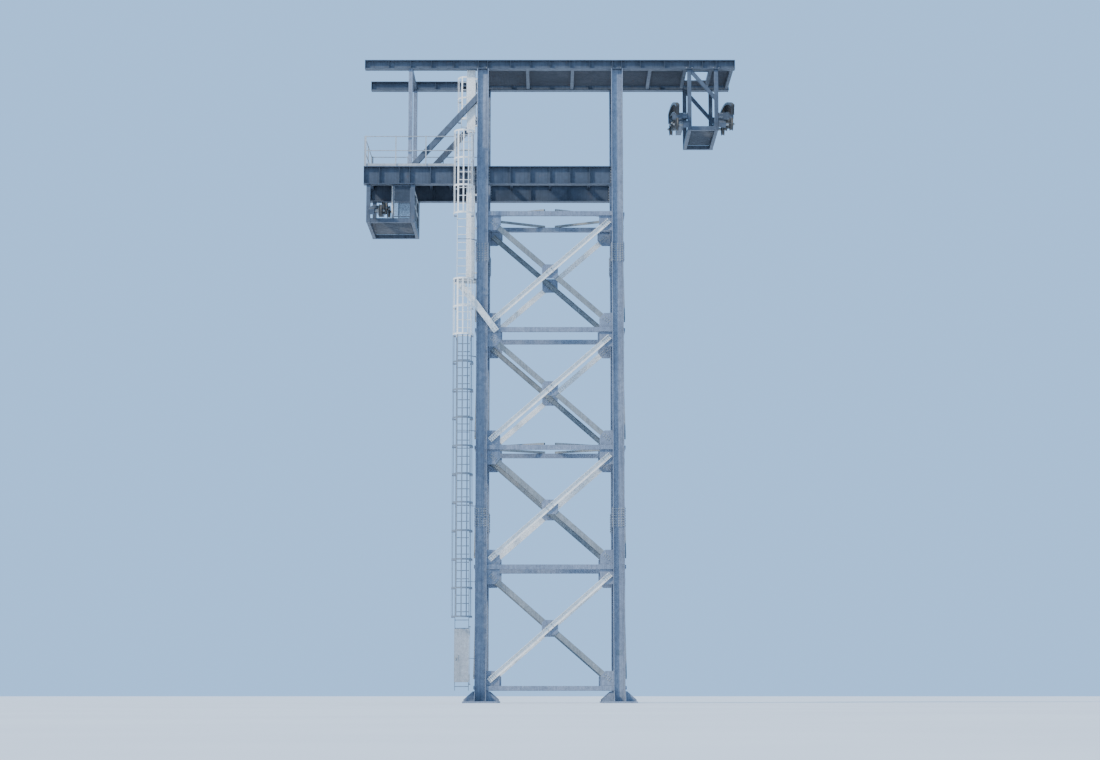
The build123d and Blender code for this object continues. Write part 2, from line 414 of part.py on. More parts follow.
# columns: foot, head, heights of the clips on the leg
DUCTS = [(LANDING_Z, ARM_BOT, (14900.0, 16500.0, 17700.0)), (19950.0, GANTRY_BOT, (20200.0, 21000.0, 21900.0))]
duct = []
for z0, z1, clips in DUCTS:
    run = box_section(*DUCT_X, *DUCT_Y, z0, z1, "Z", DUCT_T)
    duct.append(fused([run] + [blk(DUCT_X[1], -LEG_OUT, -1300, -1240, z - 30, z + 30) for z in clips]))
save("cable_duct", duct)

# ---- deck railings ------------------------------------------------------------------------------------
RAIL_R, RAIL_H = 17.0, 1100.0


def rail_run(p, q, z, n, inner):
    """A straight guard rail on n bays: posts, two tubes in each bay, and a toe board on the inner face (+1 or -1)."""
    p, q = Vector(*p, z), Vector(*q, z)
    d = (q - p).normalized()
    L = (q - p).length
    turn = Rot(0, 0, degrees(atan2(d.Y, d.X)))
    at = [20 + (L - 40) * i / n for i in range(n + 1)]
    for a in at:
        c = p + d * a
        rail_posts.append(Pos(c.X, c.Y, z + RAIL_H / 2) * turn * Box(40, 40, RAIL_H))
    for a, b in zip(at, at[1:]):
        m = p + d * ((a + b) / 2)
        for h in (560, RAIL_H - 30):
            rail_bars.append(Pos(m.X, m.Y, z + h) * turn * Rot(0, 90, 0) * Cylinder(RAIL_R, b - a - 40))
    m = p + d * (L / 2)
    rail_bars.append(Pos(m.X, m.Y, z + 50) * turn * Pos(0, inner * 24, 0) * Box(L, 8, 100))


GATE_L, GATE_R = -3290.0, -2710.0      # gap in the front rail where the ladder arrives
rail_posts, rail_bars = [], []
rail_run((-6500, -1512), (GATE_L, -1512), ARM_TOP, 3, 1)
rail_run((-6500, 1512), (-2600, 1512), ARM_TOP, 3, -1)
rail_run((-6520, -1470), (-6520, 1470), ARM_TOP, 2, -1)
rail_run((-LEFT_IN + 32, -1300), (-LEFT_IN + 32, 1300), L_FRAME_BOT + 140 + GRATE_T, 2, 1)
save("railing_posts", rail_posts)
save("railing_bars", rail_bars)

# ---- hinged pieces ------------------------------------------------------------------------------------
# anti-climb door over the lowest rungs; its hinge rod turns in two lugs on the right-hand stringer
DX, DY = LADDER_X + SX + 40, LADDER_Y - 32 - 30          # hinge axis
door = fused([blk(LADDER_X - SX - 20, DX - 26, DY - 6, DY + 16, 700, 2500), Pos(DX, DY, 1600) * Cylinder(10, 1960),
              blk(DX - 30, DX, DY - 4, DY + 4, 760, 960), blk(DX - 30, DX, DY - 4, DY + 4, 2240, 2440)])
save("guard_door", [door])
lugs = []
for z in (630.0, 2570.0):
    lug = blk(LADDER_X + SX + 10, DX + 25, DY - 25, LADDER_Y - 10, z - 20, z + 20) - Pos(DX, DY, z) * Cylinder(10 + RUN_GAP, 80)
    lugs.append(lug)
# self-closing gate in the deck rail
GX0, GY0 = GATE_L + 30, -1512.0
gate_bits = [Pos(GX0, GY0, ARM_TOP + 800) * Cylinder(10, 760), blk(GX0 - 4, GX0 + 30, GY0 - 6, GY0 + 6, ARM_TOP + 545, ARM_TOP + 575),
             blk(GX0 - 4, GX0 + 30, GY0 - 6, GY0 + 6, ARM_TOP + 1065, ARM_TOP + 1095)]
for h in (560, 1080):
    gate_bits.append(blk(GX0 + 26, GATE_R - 14, GY0 - 14, GY0 + 14, ARM_TOP + h - 14, ARM_TOP + h + 14))
for gx in (GX0 + 40, GATE_R - 28):
    gate_bits.append(blk(gx - 14, gx + 14, GY0 - 14, GY0 + 14, ARM_TOP + 546, ARM_TOP + 1094))
save("deck_gate", [fused(gate_bits)])
for z in (ARM_TOP + 480, ARM_TOP + 1140):
    lug = blk(GATE_L, GX0 + 22, GY0 - 22, GY0 + 22, z - 12, z + 12) - Pos(GX0, GY0, z) * Cylinder(10 + RUN_GAP, 60)
    lugs.append(lug)
# latch post on the other side of the gate
lugs.append(blk(GATE_R, GATE_R + 40, GY0 - 20, GY0 + 20, ARM_TOP, ARM_TOP + RAIL_H))
# lifting hatch in the crossarm deck, over the ladder to the lower platform
HX, HZ = -5696.0, ARM_TOP + 12           # hinge axis, along Y
leaf = [blk(-5688, -4942, -396, 396, ARM_TOP - GRATE_T, ARM_TOP), Pos(HX, 0, HZ) * Rot(90, 0, 0) * Cylinder(10, 836)]
for y in (-320, 0, 320):
    leaf.append(blk(HX, HX + 40, y - 25, y + 25, ARM_TOP, HZ + 10))
save("deck_hatch", [fused(leaf)])
for s in (-1, 1):
    y0, y1 = sorted((s * 404, s * 420))
    lugs.append(blk(HX - 18, HX + 18, y0, y1, ARM_TOP, HZ + 20) - Pos(HX, s * 412, HZ) * Rot(90, 0, 0) * Cylinder(10 + RUN_GAP, 40))
save("hinge_lugs", lugs)
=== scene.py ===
import json
import math
import random

import bpy
from mathutils import Matrix, Vector


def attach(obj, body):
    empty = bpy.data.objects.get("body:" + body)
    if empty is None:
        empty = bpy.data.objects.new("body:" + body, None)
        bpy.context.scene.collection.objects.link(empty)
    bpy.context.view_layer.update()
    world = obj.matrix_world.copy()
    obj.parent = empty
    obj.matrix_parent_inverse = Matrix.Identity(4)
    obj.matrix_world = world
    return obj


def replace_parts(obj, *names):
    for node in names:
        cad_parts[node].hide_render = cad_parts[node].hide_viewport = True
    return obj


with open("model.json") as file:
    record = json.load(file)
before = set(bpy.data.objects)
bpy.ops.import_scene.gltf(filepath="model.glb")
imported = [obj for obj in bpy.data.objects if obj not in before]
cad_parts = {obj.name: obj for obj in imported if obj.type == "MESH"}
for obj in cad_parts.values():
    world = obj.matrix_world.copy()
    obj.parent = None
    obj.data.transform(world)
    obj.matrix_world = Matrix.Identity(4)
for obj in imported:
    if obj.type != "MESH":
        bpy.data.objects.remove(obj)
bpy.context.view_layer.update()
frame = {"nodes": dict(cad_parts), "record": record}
nodes = frame["nodes"]
random.seed(11)

# ---- sizes of the frame, in metres --------------------------------------------------------------------
LEG_X, LEG_Y, LEG_H, LEG_B, LEG_TF, LEG_TW = 2.370, 1.385, 0.400, 0.300, 0.024, 0.014
LEG_OUT, LEG_IN = LEG_X + LEG_H / 2, LEG_X - LEG_H / 2
TIP_IN, TIP_OUT = LEG_Y - LEG_B / 2, LEG_Y + LEG_B / 2
BAY_Z0, BAY_H, BAYS = 0.500, 4.125, 4
NODES = [BAY_Z0 + BAY_H * i for i in range(BAYS + 1)]
GANTRY_TOP, ARM_TOP = 22.530, 18.680
GANTRY_BOT, ARM_BOT = GANTRY_TOP - 0.320, ARM_TOP - 0.640
HALF_SPAN = 6.550
POST_IN, POST_OUT, LEFT_IN, LEFT_OUT = 4.930, 5.880, 4.820, 6.380
R_FRAME_BOT, L_FRAME_BOT = 20.000, 16.680
R_DECK, L_DECK = R_FRAME_BOT + 0.180, L_FRAME_BOT + 0.180
SADDLE_X, SADDLE_R, SADDLE_MID_Z, LEFT_DROP = (4.450, 6.360), 16.0, 21.350, 3.100
YC = SADDLE_R * math.sin(math.radians(11.25))
ZC = SADDLE_MID_Z - SADDLE_R * math.cos(math.radians(11.25))
LADDER_X, LADDER_Y, LADDER_Y2, LANDING_Z = -3.000, -1.748, 1.120, 14.630
SPLICE_Z = (6.330, 15.630)
# columns: rung plane, lowest hoop, highest hoop, hoops
CAGES = [(LADDER_Y, 2.900, LANDING_Z - 0.120, 13), (LADDER_Y, LANDING_Z + 2.200, ARM_TOP + 1.070, 4), (LADDER_Y2, ARM_TOP + 2.250, GANTRY_TOP - 0.070, 3)]
LADDER_JOINT_Z = LANDING_Z - 2.085      # under a cage hoop: bright ladder section above, painted shade on the one below
X, Y, Z = Vector((1, 0, 0)), Vector((0, 1, 0)), Vector((0, 0, 1))


# ---- mesh building ------------------------------------------------------------------------------------
class Bag:
    """Collects closed solids and makes one mesh object of them."""

    def __init__(self):
        self.v, self.f = [], []

    def add(self, verts, faces):
        n = len(self.v)
        self.v += [tuple(p) for p in verts]
        self.f += [tuple(i + n for i in f) for f in faces]

    def box(self, x0, x1, y0, y1, z0, z1):
        x0, x1 = sorted((x0, x1))
        y0, y1 = sorted((y0, y1))
        z0, z1 = sorted((z0, z1))
        self.add([(x0, y0, z0), (x1, y0, z0), (x1, y1, z0), (x0, y1, z0), (x0, y0, z1), (x1, y0, z1), (x1, y1, z1), (x0, y1, z1)],
                 [(3, 2, 1, 0), (4, 5, 6, 7), (0, 1, 5, 4), (1, 2, 6, 5), (2, 3, 7, 6), (3, 0, 4, 7)])

    def bar(self, p, q, w, h, up=Z):
        """A box from p to q, w wide across and h high along up."""
        d = (q - p).normalized()
        s = d.cross(up).normalized()
        u = s.cross(d)
        c = [(-w / 2, -h / 2), (w / 2, -h / 2), (w / 2, h / 2), (-w / 2, h / 2)]
        self.add([p + s * a + u * b for a, b in c] + [q + s * a + u * b for a, b in c],
                 [(3, 2, 1, 0), (4, 5, 6, 7), (0, 1, 5, 4), (1, 2, 6, 5), (2, 3, 7, 6), (3, 0, 4, 7)])

    def rod(self, p, q, r, n=12, turn=0.0, r2=None):
        """A cylinder, or a cone frustum, from p to q."""
        d = (q - p).normalized()
        s = (Z if abs(d.z) < 0.9 else X).cross(d).normalized()
        t = d.cross(s)
        r2 = r if r2 is None else r2
        a = [turn + 2 * math.pi * i / n for i in range(n)]
        self.add([p + s * (r * math.cos(x)) + t * (r * math.sin(x)) for x in a] + [q + s * (r2 * math.cos(x)) + t * (r2 * math.sin(x)) for x in a],
                 [tuple(range(n - 1, -1, -1)), tuple(range(n, 2 * n))] + [(i, (i + 1) % n, n + (i + 1) % n, n + i) for i in range(n)])

    def bolt(self, p, n, d=0.024, washer=True):
        """A hexagon head with a washer, seated at p, standing along n."""
        w = 0.12 * d
        if washer:
            self.rod(p, p + n * w, d * 0.98, 12)
        self.rod(p + n * w, p + n * (w + 0.62 * d), d * 0.86, 6, random.random())

    def nut(self, p, n, d=0.024):
        """A washer, nut and the thread's end, seated at p."""
        w = 0.12 * d
        self.rod(p, p + n * w, d * 0.98, 12)
        self.rod(p + n * w, p + n * (w + 0.8 * d), d * 0.86, 6, random.random())
        self.rod(p + n * (w + 0.8 * d), p + n * (w + 1.15 * d), d * 0.48, 8)

    def revolve(self, half, centre, n=48):
        """A closed ring about the X axis through centre. half is (radius, offset along X) round its section."""
        m = len(half)
        vs = []
        for i in range(n):
            a = 2 * math.pi * i / n
            vs += [centre + Vector((o, r * math.cos(a), r * math.sin(a))) for r, o in half]
        fs = [(i * m + j, i * m + (j + 1) % m, ((i + 1) % n) * m + (j + 1) % m, ((i + 1) % n) * m + j) for i in range(n) for j in range(m)]
        self.add(vs, fs)

    def make(self, name, mat, body="tower", slot=None, smooth=None, bevel=None):
        me = bpy.data.meshes.new(name)
        me.from_pydata(self.v, [], self.f)
        me.validate()
        me.update()
        import bmesh
        b = bmesh.new()
        b.from_mesh(me)
        bmesh.ops.recalc_face_normals(b, faces=b.faces)
        b.to_mesh(me)
        b.free()
        o = bpy.data.objects.new(name, me)
        bpy.context.scene.collection.objects.link(o)
        o.data.materials.append(mat)
        if smooth:
            for p in me.polygons:
                p.use_smooth = True
            m = o.modifiers.new("wn", "WEIGHTED_NORMAL")
            m.keep_sharp = True
            me.set_sharp_from_angle(angle=math.radians(smooth))
        if bevel:
            m = o.modifiers.new("bevel", "BEVEL")
            m.width, m.segments, m.limit_method, m.angle_limit = bevel, 1, "ANGLE", math.radians(40)
        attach(o, body)
        return o


# ---- materials ----------------------------------------------------------------------------------------
class Mat:
    """A small helper for node materials in row-frame coordinates."""

    def __init__(self, name):
        self.m = bpy.data.materials.new(name)
        self.m.use_nodes = True
        self.t = self.m.node_tree
        self.t.nodes.clear()
        self.out = self.t.nodes.new("ShaderNodeOutputMaterial")
        self.b = self.t.nodes.new("ShaderNodeBsdfPrincipled")
        self.t.links.new(self.b.outputs[0], self.out.inputs[0])
        self.co = self.t.nodes.new("ShaderNodeTexCoord").outputs["Object"]

    def link(self, a, b):
        self.t.links.new(a, b)

    def mapped(self, scale, rot=(0, 0, 0)):
        n = self.t.nodes.new("ShaderNodeMapping")
        n.inputs["Scale"].default_value = scale
        n.inputs["Rotation"].default_value = rot
        self.link(self.co, n.inputs[0])
        return n.outputs[0]

    def noise(self, scale, detail=3, rough=0.55, dist=0.0, vec=None):
        n = self.t.nodes.new("ShaderNodeTexNoise")
        n.inputs["Scale"].default_value = scale
        n.inputs["Detail"].default_value = detail
        n.inputs["Roughness"].default_value = rough
        n.inputs["Distortion"].default_value = dist
        self.link(vec or self.co, n.inputs["Vector"])
        return n.outputs[0]

    def voronoi(self, scale, vec=None, feature="F1", output="Color", rand=1.0):
        n = self.t.nodes.new("ShaderNodeTexVoronoi")
        n.feature = feature
        n.inputs["Scale"].default_value = scale
        n.inputs["Randomness"].default_value = rand
        self.link(vec or self.co, n.inputs["Vector"])
        return n.outputs[output]

    def ramp(self, src, stops):
        n = self.t.nodes.new("ShaderNodeValToRGB")
        while len(n.color_ramp.elements) < len(stops):
            n.color_ramp.elements.new(0.5)
        for e, (p, c) in zip(n.color_ramp.elements, stops):
            e.position = p
            e.color = (c, c, c, 1) if isinstance(c, (int, float)) else (*c, 1)
        self.link(src, n.inputs[0])
        return n.outputs[0]

    def mix(self, f, a, b, mode="MIX"):
        n = self.t.nodes.new("ShaderNodeMix")
        n.data_type, n.blend_type = "RGBA", mode
        for i, v in ((0, f), (6, a), (7, b)):
            if hasattr(v, "is_linked"):
                self.link(v, n.inputs[i])
            elif isinstance(v, (int, float)):
                n.inputs[i].default_value = v if i == 0 else (v, v, v, 1)
            else:
                n.inputs[i].default_value = (*v, 1)
        return n.outputs[2]

    def math(self, op, a, b=0.5, c=None, clamp=False):
        n = self.t.nodes.new("ShaderNodeMath")
        n.operation, n.use_clamp = op, clamp
        for s, v in zip(n.inputs, (a, b, c)):
            if v is None:
                continue
            if hasattr(v, "is_linked"):
                self.link(v, s)
            else:
                s.default_value = v
        return n.outputs[0]

    def bump(self, height, strength, distance=0.002, under=None):
        n = self.t.nodes.new("ShaderNodeBump")
        n.inputs["Strength"].default_value = strength
        n.inputs["Distance"].default_value = distance
        self.link(height, n.inputs["Height"])
        if under is not None:
            self.link(under, n.inputs["Normal"])
        return n.outputs[0]


def steel(name, base, dark, light, rough=0.55, metallic=0.25, streak=0.5, spangle=0.25, rust=0.25, rust_col=(0.16, 0.075, 0.035), grime=0.5, painted_shade_below=None):
    """Weathered steel: cloudy patches over metres, rain streaks, zinc spangle, dirt on upward faces and rust runs;
    optionally painted shade below a height.
    """
    m = Mat(name)
    cloud = m.noise(0.55, 4, 0.6)
    mott = m.noise(7.0, 5, 0.62)
    fine = m.noise(160.0, 3, 0.5)
    run = m.noise(1.0, 5, 0.65, 0.3, m.mapped((26.0, 26.0, 0.55)))
    thin = m.noise(1.0, 3, 0.6, 0.0, m.mapped((90.0, 90.0, 1.6)))
    c = m.mix(m.ramp(cloud, [(0.32, 0.0), (0.68, 1.0)]), base, light)
    c = m.mix(m.math("MULTIPLY", m.ramp(mott, [(0.42, 0.0), (0.72, 1.0)]), 0.55), c, dark)
    c = m.mix(m.math("MULTIPLY", m.ramp(run, [(0.46, 0.0), (0.66, 1.0)]), streak), c, dark)
    c = m.mix(m.math("MULTIPLY", m.ramp(thin, [(0.55, 0.0), (0.72, 1.0)]), streak * 0.5), c, light)
    if spangle:
        sp = m.voronoi(55.0)
        g = m.t.nodes.new("ShaderNodeRGBToBW")
        m.link(sp, g.inputs[0])
        c = m.mix(spangle, c, m.mix(1.0, c, m.ramp(g.outputs[0], [(0.25, 0.62), (0.75, 1.45)]), "MULTIPLY"))
    if rust:
        r1 = m.noise(2.3, 6, 0.7, 0.5)
        r2 = m.noise(1.0, 5, 0.7, 0.4, m.mapped((34.0, 34.0, 1.1)))
        r = m.math("MULTIPLY", m.ramp(r1, [(0.60, 0.0), (0.70, 1.0)]), m.ramp(r2, [(0.46, 0.0), (0.62, 1.0)]))
        c = m.mix(m.math("MULTIPLY", r, rust, clamp=True), c, rust_col)
    if painted_shade_below is not None:      # painted shade: darker and bluer below this height
        zz = m.t.nodes.new("ShaderNodeSeparateXYZ")
        m.link(m.co, zz.inputs[0])
        low = m.math("LESS_THAN", zz.outputs[2], painted_shade_below)
        c = m.mix(low, c, m.mix(1.0, c, (0.20, 0.25, 0.32), "MULTIPLY"))
    # dust lies on upward faces
    geo = m.t.nodes.new("ShaderNodeNewGeometry")
    sep = m.t.nodes.new("ShaderNodeSeparateXYZ")
    m.link(geo.outputs["Normal"], sep.inputs[0])
    up = m.math("MULTIPLY", m.ramp(sep.outputs[2], [(0.35, 0.0), (0.95, 1.0)]), m.ramp(m.noise(11.0, 4, 0.6), [(0.35, 0.25), (0.7, 1.0)]))
    c = m.mix(m.math("MULTIPLY", up, grime * 0.6, clamp=True), c, (0.23, 0.21, 0.175))
    m.link(c, m.b.inputs["Base Color"])
    m.b.inputs["Metallic"].default_value = metallic
    rr = m.math("ADD", m.math("MULTIPLY", m.math("SUBTRACT", mott, 0.5), 0.35), rough)
    rr = m.math("ADD", rr, m.math("MULTIPLY", up, 0.15), clamp=True)
    m.link(rr, m.b.inputs["Roughness"])
    n = m.bump(fine, 0.12, 0.001)
    n = m.bump(mott, 0.25, 0.0015, n)
    m.link(n, m.b.inputs["Normal"])
    return m.m


# painted shade: this blue-grey is darker and bluer than the zinc's own mid grey, standing in for the shade on the legs
TOWER = steel("tower_steel", (0.175, 0.215, 0.285), (0.095, 0.120, 0.170), (0.270, 0.315, 0.390), 0.52, 0.30, 0.55, 0.30, 0.55)
# painted shade: this dark grey is the shaded copy of the bracing steel; the lit copy follows
BRACE = steel("bracing_steel", (0.190, 0.212, 0.225), (0.105, 0.120, 0.132), (0.285, 0.308, 0.322), 0.52, 0.30, 0.5, 0.30, 0.5)
# painted sunlight: a pale copy of the bracing steel, standing in for the sun on the braces in the bracing_bright slot
SUN_PAINTED_BRACE = steel("bracing_bright", (0.700, 0.715, 0.710), (0.480, 0.500, 0.510), (0.810, 0.815, 0.800), 0.48, 0.12, 0.35, 0.32, 0.30)
# painted shade: near-black copy of the steel for the crossarm beams, standing in for their shade seen from below
BEAM = steel("beam_steel", (0.046, 0.062, 0.090), (0.025, 0.034, 0.052), (0.082, 0.104, 0.142), 0.50, 0.20, 0.5, 0.12, 0.7)
# bright zinc of the ladder and small fittings; painted shade darkens it below LADDER_JOINT_Z, standing in for the
# shaded lower ladder
ZINC = steel("bright_galvanised", (0.740, 0.745, 0.725), (0.540, 0.545, 0.540), (0.840, 0.840, 0.815), 0.46, 0.12, 0.30, 0.35, 0.22, painted_shade_below=LADDER_JOINT_Z)
RAIL = steel("rail_steel", (0.330, 0.350, 0.370), (0.200, 0.215, 0.235), (0.450, 0.465, 0.480), 0.48, 0.30, 0.35, 0.30, 0.35)
# painted shade: the gratings are dark copies of the steel, standing in for their shaded undersides seen from below; the
# gantry walkway's copy is darkest
GRATE = steel("grating_steel", (0.120, 0.138, 0.165), (0.064, 0.076, 0.096), (0.190, 0.212, 0.245), 0.60, 0.25, 0.3, 0.20, 0.6)
DARKGRATE = steel("dark_grating_steel", (0.040, 0.052, 0.074), (0.021, 0.028, 0.041), (0.072, 0.088, 0.116), 0.60, 0.20, 0.3, 0.15, 0.6)
DOOR = steel("door_sheet", (0.300, 0.330, 0.360), (0.180, 0.200, 0.225), (0.420, 0.445, 0.470), 0.46, 0.25, 0.5, 0.25, 0.6)
# painted shade: dark copy of the steel for the gantry head, standing in for its shade seen from below
HEAD = steel("gantry_steel", (0.062, 0.082, 0.115), (0.032, 0.042, 0.062), (0.105, 0.132, 0.175), 0.52, 0.20, 0.5, 0.12, 0.6)
SADDLE = steel("saddle_steel", (0.036, 0.038, 0.042), (0.016, 0.017, 0.019), (0.075, 0.078, 0.084), 0.42, 0.35, 0.5, 0.0, 0.6)
ROLLER = steel("roller_steel", (0.040, 0.041, 0.043), (0.020, 0.020, 0.021), (0.085, 0.085, 0.086), 0.46, 0.45, 0.1, 0.0, 0.8, (0.13, 0.055, 0.025))
PIN = steel("pin_steel", (0.280, 0.280, 0.275), (0.140, 0.140, 0.140), (0.420, 0.420, 0.410), 0.34, 0.80, 0.1, 0.0, 0.5)
BOLT = steel("bolt_steel", (0.330, 0.335, 0.330), (0.180, 0.180, 0.178), (0.480, 0.480, 0.465), 0.45, 0.45, 0.1, 0.0, 0.7)
LINER = steel("groove_lining", (0.060, 0.056, 0.050), (0.030, 0.028, 0.025), (0.110, 0.104, 0.094), 0.55, 0.10, 0.0, 0.0, 0.1)
SLOTS = {"tower_steel": TOWER, "bracing_steel": BRACE, "bracing_bright": SUN_PAINTED_BRACE, "beam_steel": BEAM, "bright_galvanised": ZINC, "rail_steel": RAIL,
         "grating": GRATE, "door_sheet": DOOR, "saddle_steel": SADDLE, "roller_steel": ROLLER, "pin_steel": PIN,
         "gantry_steel": HEAD}
for s in frame["record"]["subparts"]:
    o = nodes[s["node"]]
    o.data.materials.clear()
    o.data.materials.append(SLOTS[s["material_slot"]])


# ---- open gratings in place of the plain deck plates --------------------------------------------------
def grating(bag, x0, x1, y0, y1, z0, z1, along="X", pitch=0.0343):
    """Bearing bars on edge, cross rods near the top, and a flat banding bar all round."""
    e = 0.005
    bag.box(x0, x1, y0, y0 + e, z0, z1)
    bag.box(x0, x1, y1 - e, y1, z0, z1)
    bag.box(x0, x0 + e, y0 + e, y1 - e, z0, z1)
    bag.box(x1 - e, x1, y0 + e, y1 - e, z0, z1)
    a0, a1 = (y0, y1) if along == "X" else (x0, x1)
    n = max(2, round((a1 - a0) / pitch))
    for i in range(1, n):
        c = a0 + (a1 - a0) * i / n
        if along == "X":
            bag.box(x0 + e, x1 - e, c - 0.002, c + 0.002, z0, z1)
        else:
            bag.box(c - 0.002, c + 0.002, y0 + e, y1 - e, z0, z1)
    b0, b1 = (x0, x1) if along == "X" else (y0, y1)
    n = max(2, round((b1 - b0) / 0.1))
    for i in range(1, n):
        c = b0 + (b1 - b0) * i / n
        if along == "X":
            bag.box(c - 0.003, c + 0.003, y0 + e, y1 - e, z1 - 0.008, z1 - 0.0005)
        else:
            bag.box(x0 + e, x1 - e, c - 0.003, c + 0.003, z1 - 0.008, z1 - 0.0005)


TIP, GT = 1.229, 0.040
g = Bag()
for x0, x1, y0, y1 in ((-6.550, -5.703, -TIP, TIP), (-5.700, -4.930, -TIP, -0.402), (-5.700, -4.930, 0.402, TIP), (-4.927, -3.603, -TIP, TIP), (-3.600, -2.600, -TIP, TIP)):
    grating(g, x0, x1, y0, y1, ARM_TOP - GT, ARM_TOP)
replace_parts(g.make("crossarm_deck_grating", GRATE, slot="grating"), "crossarm_deck")
g = Bag()
DECK_Z = GANTRY_BOT + 0.144
for x0, x1, y0, y1 in ((-2.600, -0.802, -TIP, TIP), (-0.798, 0.798, -TIP, TIP), (0.802, LEG_X - 0.002, -TIP, TIP), (LEG_X + 0.002, 3.548, -TIP, TIP),
                       (3.552, 4.860, -TIP, TIP), (4.864, 5.650, -TIP, -0.600), (4.864, 5.650, 0.600, TIP), (5.654, 6.510, -TIP, TIP)):
    grating(g, x0, x1, y0, y1, DECK_Z, DECK_Z + GT)
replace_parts(g.make("gantry_walkway_grating", DARKGRATE, slot="grating"), "gantry_walkway")
g = Bag()
grating(g, POST_IN - 0.054, POST_OUT + 0.054, -1.309, 1.309, R_DECK - GT, R_DECK)
grating(g, -LEFT_OUT - 0.054, -LEFT_IN + 0.054, -1.309, 1.309, L_DECK - GT, L_DECK)
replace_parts(g.make("hanger_deck_grating", GRATE, slot="grating"), "hanger_decks")
g = Bag()
grating(g, -3.340, -LEG_OUT, -1.690, -1.000, LANDING_Z - GT, LANDING_Z, pitch=0.030)
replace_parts(g.make("rest_landing_grating", GRATE, slot="grating"), "rest_landing")
# the hatch: a grating leaf in an angle frame, on three strap hinges and one rod
g = Bag()
grating(g, -5.688, -4.942, -0.396, 0.396, ARM_TOP - GT, ARM_TOP, pitch=0.030)
for x0, x1, y0, y1 in ((-5.683, -4.947, -0.391, -0.386), (-5.683, -4.947, 0.386, 0.391), (-4.952, -4.947, -0.386, 0.386)):
    g.box(x0, x1, y0, y1, ARM_TOP - GT + 0.001, ARM_TOP - 0.001)
g.rod(Vector((-5.696, -0.418, ARM_TOP + 0.012)), Vector((-5.696, 0.418, ARM_TOP + 0.012)), 0.010, 16)
for y in (-0.320, 0.0, 0.320):
    g.box(-5.694, -5.656, y - 0.025, y + 0.025, ARM_TOP, ARM_TOP + 0.008)
    g.rod(Vector((-5.696, y - 0.025, ARM_TOP + 0.012)), Vector((-5.696, y + 0.025, ARM_TOP + 0.012)), 0.0155, 16)
    g.box(-5.660, -5.500, y - 0.020, y + 0.020, ARM_TOP + 0.0002, ARM_TOP + 0.006)
    for x in (-5.630, -5.540):
        g.bolt(Vector((x, y, ARM_TOP + 0.006)), Z, 0.012)
g.rod(Vector((-5.050, -0.070, ARM_TOP - 0.012)), Vector((-5.050, 0.070, ARM_TOP - 0.012)), 0.008, 12)
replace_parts(g.make("deck_hatch_leaf", GRATE, "deck_hatch_body", "grating", smooth=35), "deck_hatch")

# ---- stiffeners, end plates and tie bolts of the head beams -------------------------------------------
g = Bag()
GB, GTP = GANTRY_BOT + 0.024, GANTRY_TOP - 0.024
for sy in (-1, 1):
    for x in (-6.54, -5.7, -4.93, -4.2, -3.4, -2.53, -2.21, -1.4, -0.7, 0.0, 0.7, 1.4, 2.21, 2.53, 3.2, 4.05, 4.93, 5.4, 5.88, 6.54):
        g.box(x - 0.006, x + 0.006, sy * (LEG_Y + 0.007), sy * (TIP_OUT - 0.004), GB, GTP)
        if abs(x) > 6.5 or x in (-4.2, -1.4, 0.0, 1.4, 4.05):
            g.box(x - 0.006, x + 0.006, sy * (LEG_Y - 0.007), sy * (TIP_IN + 0.004), GB, GTP)
    for x in (-6.54, -6.0, -5.3, -4.93, -4.2, -3.4, -2.585, -2.155, -1.4, -0.7, 0.0, 0.7, 1.4, 2.155):
        g.box(x - 0.007, x + 0.007, sy * (LEG_Y + 0.008), sy * (TIP_OUT - 0.004), ARM_BOT + 0.030, ARM_TOP - 0.030)
        if x in (-6.54, -4.2, -2.585, -2.155, 0.7, -0.7, 2.155):
            g.box(x - 0.007, x + 0.007, sy * (LEG_Y - 0.008), sy * (TIP_IN + 0.004), ARM_BOT + 0.030, ARM_TOP - 0.030)
g.make("beam_stiffeners", BEAM, slot="beam_steel")

# bolts on both sides of the beam ends, at the legs, posts and hanging frames
g = Bag()
for sy in (-1, 1):
    for cx in (-LEG_X, LEG_X):
        for dx in (-0.13, 0.0, 0.13):
            for dy in (-0.10, 0.10):
                g.bolt(Vector((cx + dx, sy * LEG_Y + dy, GANTRY_BOT + 0.024)), Z, 0.024)
    for cx in (POST_IN, POST_OUT):
        for dx in (-0.05, 0.05):
            for dy in (-0.05, 0.05):
                g.bolt(Vector((cx + dx * 2.0, sy * LEG_Y + dy * 2.4, GANTRY_BOT + 0.024)), Z, 0.024)
    # end plates of the crossarm on the legs
    for x, s in ((-LEG_OUT - 0.0, -1), (-LEG_IN, 1), (LEG_IN, -1)):
        for dz in (-0.25, -0.15, -0.05, 0.05, 0.15, 0.25):
            for dy in (-0.09, 0.09):
                g.bolt(Vector((x + s * 0.0215, sy * LEG_Y + dy, (ARM_TOP + ARM_BOT) / 2 + dz)), X * s, 0.024)
g.make("head_bolts", BOLT, slot="pin_steel")
g = Bag()
for sy in (-1, 1):
    for x, s in ((-LEG_OUT, -1), (-LEG_IN, 1), (LEG_IN, -1)):
        y0, y1 = sorted((sy * (LEG_Y + 0.008), sy * (TIP_OUT - 0.002)))
        g.box(x, x + s * 0.0215, y0, y1, ARM_BOT + 0.030, ARM_TOP - 0.030)
        y0, y1 = sorted((sy * (LEG_Y - 0.008), sy * (TIP_IN + 0.002)))
        g.box(x, x + s * 0.0215, y0, y1, ARM_BOT + 0.030, ARM_TOP - 0.030)
g.make("crossarm_end_plates", BEAM, slot="beam_steel", bevel=0.002)

